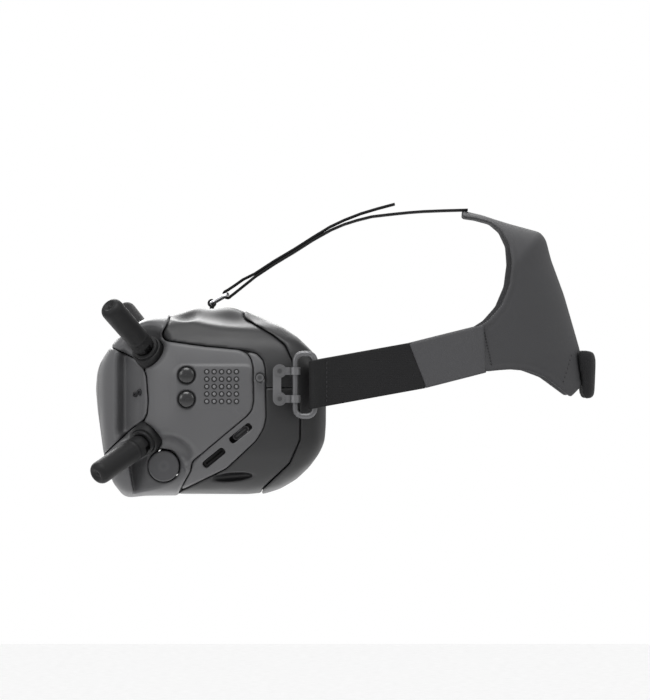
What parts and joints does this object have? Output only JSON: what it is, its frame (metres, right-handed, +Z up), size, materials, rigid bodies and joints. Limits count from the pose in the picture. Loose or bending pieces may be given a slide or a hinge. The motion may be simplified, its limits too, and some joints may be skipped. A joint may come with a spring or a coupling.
{
  "type": "fpv goggles",
  "caption": "First-person-view goggles with four fold-out antennas, sliding lenses, side controls and a three-point strap with a fabric head cradle.",
  "frame": {"origin": "middle of the face opening, level with the lens axes", "axes": "the wearer looks along -Y, +X is the wearer's left, +Z is up"},
  "size_m": [0.201, 0.2714, 0.1594],
  "materials": {
    "grey_shell": "satin",
    "dark_shell": "satin",
    "black_frame": "satin",
    "face_foam": "matte",
    "inner_plastic": "matte",
    "slider_grey": "satin",
    "lens_glass": "polished",
    "display_glass": "polished",
    "circuit_board": "satin",
    "light_pipe": "satin",
    "button_black": "gloss",
    "steel_grey": "satin",
    "screw_steel": "satin",
    "loop_chrome": "polished",
    "antenna_rubber": "matte",
    "antenna_plastic": "matte",
    "elastic_black": "matte",
    "laminate_grey": "satin"
  },
  "bodies": {
    "root": {"antenna_seats": "antenna_plastic", "audio_jack": "inner_plastic", "bracket_screws": "screw_steel", "card_slot": "inner_plastic", "channel_display": "light_pipe", "cover_screws": "screw_steel", "face_foam": "face_foam", "face_frame": "black_frame", "fan_housing": "inner_plastic", "front_cover": "grey_shell", "guide_rods": "steel_grey", "key_boards": "circuit_board", "loop_anchor": "inner_plastic", "main_board": "circuit_board", "optics_carrier": "inner_plastic", "port_strip_left": "grey_shell", "port_strip_right": "grey_shell", "power_jack": "inner_plastic", "rear_housing_lower": "dark_shell", "rear_housing_upper": "dark_shell", "side_cover_left": "grey_shell", "side_cover_right": "grey_shell", "side_strap_left": "elastic_black", "side_strap_right": "elastic_black", "strap_bracket_left": "steel_grey", "strap_bracket_right": "steel_grey", "top_strap_front": "elastic_black", "usb_port": "steel_grey"},
    "lens_carriage_left": {"lens_barrel_left": "inner_plastic", "lens_left": "lens_glass", "display_panel_left": "display_glass", "ipd_pad_left": "slider_grey"},
    "strap_ring_left": {"strap_ring_left": "steel_grey"},
    "antenna_swivel_upper_left": {"antenna_collar_upper_left": "antenna_plastic"},
    "antenna_upper_left": {"antenna_stub_upper_left": "antenna_rubber"},
    "antenna_swivel_lower_left": {"antenna_collar_lower_left": "antenna_plastic"},
    "antenna_lower_left": {"antenna_stub_lower_left": "antenna_rubber"},
    "lens_carriage_right": {"lens_barrel_right": "inner_plastic", "lens_right": "lens_glass", "display_panel_right": "display_glass", "ipd_pad_right": "slider_grey"},
    "strap_ring_right": {"strap_ring_right": "steel_grey"},
    "antenna_swivel_upper_right": {"antenna_collar_upper_right": "antenna_plastic"},
    "antenna_upper_right": {"antenna_stub_upper_right": "antenna_rubber"},
    "antenna_swivel_lower_right": {"antenna_collar_lower_right": "antenna_plastic"},
    "antenna_lower_right": {"antenna_stub_lower_right": "antenna_rubber"},
    "button_up": {"button_up": "button_black"},
    "button_down": {"button_down": "button_black"},
    "button_record": {"button_record": "button_black"},
    "button_back": {"button_back": "button_black"},
    "stick_yoke": {"stick_yoke": "inner_plastic"},
    "stick_sleeve": {"stick_sleeve": "inner_plastic"},
    "stick_cap": {"stick_cap": "button_black"},
    "top_loop": {"top_loop": "loop_chrome"},
    "headband": {"head_cradle_left": "laminate_grey", "head_cradle_right": "laminate_grey", "nape_pocket": "elastic_black", "strap_tabs": "laminate_grey", "top_strap_rear": "elastic_black"},
    "fan": {"fan_rotor": "inner_plastic"}
  },
  "joints": [
    {"name": "ipd_left", "type": "slide", "parent": "root", "child": "lens_carriage_left", "axis": [1, 0, 0], "range_m": [-0.003, 0.003]},
    {"name": "ring_swing_left", "type": "hinge", "parent": "root", "child": "strap_ring_left", "pos_m": [0.0895, -0.0171, 0], "axis": [0, 0, -1], "range_deg": [-25, 40], "deforming": ["side_strap_left"]},
    {"name": "antenna_turn_upper_left", "type": "hinge", "parent": "root", "child": "antenna_swivel_upper_left", "pos_m": [0.0702, -0.095, 0.0178], "axis": [0.721, -0.4206, 0.5507], "range_deg": [-100, 100]},
    {"name": "antenna_fold_upper_left", "type": "hinge", "parent": "antenna_swivel_upper_left", "child": "antenna_upper_left", "pos_m": [0.07626, -0.09853, 0.02243], "axis": [0.1504, -0.6808, -0.7168], "range_deg": [-52, 36]},
    {"name": "antenna_turn_lower_left", "type": "hinge", "parent": "root", "child": "antenna_swivel_lower_left", "pos_m": [0.0696, -0.0965, -0.028], "axis": [0.7202, -0.4701, -0.5102], "range_deg": [-100, 100]},
    {"name": "antenna_fold_lower_left", "type": "hinge", "parent": "antenna_swivel_lower_left", "child": "antenna_lower_left", "pos_m": [0.07565, -0.10045, -0.03229], "axis": [-0.5692, 0.02, -0.822], "range_deg": [-56.2, 31.8]},
    {"name": "ipd_right", "type": "slide", "parent": "root", "child": "lens_carriage_right", "axis": [-1, 0, 0], "range_m": [-0.003, 0.003]},
    {"name": "ring_swing_right", "type": "hinge", "parent": "root", "child": "strap_ring_right", "pos_m": [-0.0895, -0.0171, 0], "axis": [0, 0, 1], "range_deg": [-25, 40], "deforming": ["side_strap_right"]},
    {"name": "antenna_turn_upper_right", "type": "hinge", "parent": "root", "child": "antenna_swivel_upper_right", "pos_m": [-0.0702, -0.095, 0.0178], "axis": [-0.721, -0.4206, 0.5507], "range_deg": [-100, 100]},
    {"name": "antenna_fold_upper_right", "type": "hinge", "parent": "antenna_swivel_upper_right", "child": "antenna_upper_right", "pos_m": [-0.07626, -0.09853, 0.02243], "axis": [0.1504, 0.6808, 0.7168], "range_deg": [-52, 36]},
    {"name": "antenna_turn_lower_right", "type": "hinge", "parent": "root", "child": "antenna_swivel_lower_right", "pos_m": [-0.0696, -0.0965, -0.028], "axis": [-0.7202, -0.4701, -0.5102], "range_deg": [-100, 100]},
    {"name": "antenna_fold_lower_right", "type": "hinge", "parent": "antenna_swivel_lower_right", "child": "antenna_lower_right", "pos_m": [-0.07565, -0.10045, -0.03229], "axis": [-0.5692, -0.02, 0.822], "range_deg": [-56.2, 31.8]},
    {"name": "press_up", "type": "slide", "parent": "root", "child": "button_up", "axis": [-1, 0, 0], "range_m": [0, 0.0008], "stiffness_N_per_m": 900, "springref_m": -0.0006},
    {"name": "press_down", "type": "slide", "parent": "root", "child": "button_down", "axis": [-1, 0, 0], "range_m": [0, 0.0008], "stiffness_N_per_m": 900, "springref_m": -0.0006},
    {"name": "press_record", "type": "slide", "parent": "root", "child": "button_record", "axis": [1, 0, 0], "range_m": [0, 0.0008], "stiffness_N_per_m": 900, "springref_m": -0.0006},
    {"name": "press_back", "type": "slide", "parent": "root", "child": "button_back", "axis": [1, 0, 0], "range_m": [0, 0.0008], "stiffness_N_per_m": 900, "springref_m": -0.0006},
    {"name": "stick_tilt_fore_aft", "type": "hinge", "parent": "root", "child": "stick_yoke", "pos_m": [-0.08, -0.066, 0], "axis": [0, 0, 1], "range_deg": [-8, 8], "stiffness_Nm_per_rad": 0.02},
    {"name": "stick_tilt_up_down", "type": "hinge", "parent": "stick_yoke", "child": "stick_sleeve", "pos_m": [-0.08, -0.066, 0], "axis": [0, 1, 0], "range_deg": [-8, 8], "stiffness_Nm_per_rad": 0.02},
    {"name": "stick_press", "type": "slide", "parent": "stick_sleeve", "child": "stick_cap", "axis": [1, 0, 0], "range_m": [0, 0.0005], "stiffness_N_per_m": 1200, "springref_m": -0.0004},
    {"name": "top_loop_swing", "type": "hinge", "parent": "root", "child": "top_loop", "pos_m": [0, -0.0628, 0.0444], "axis": [1, 0, 0], "range_deg": [-22, 60], "deforming": ["top_strap_front"]},
    {"name": "headband_stretch", "type": "slide", "parent": "root", "child": "headband", "axis": [0, 1, 0], "range_m": [0, 0.025], "stiffness_N_per_m": 120, "deforming": ["strap_tabs", "top_strap_rear"]},
    {"name": "fan_spin", "type": "hinge", "parent": "root", "child": "fan", "pos_m": [0, -0.109, -0.002], "axis": [0, 1, 0], "continuous": true}
  ]
}
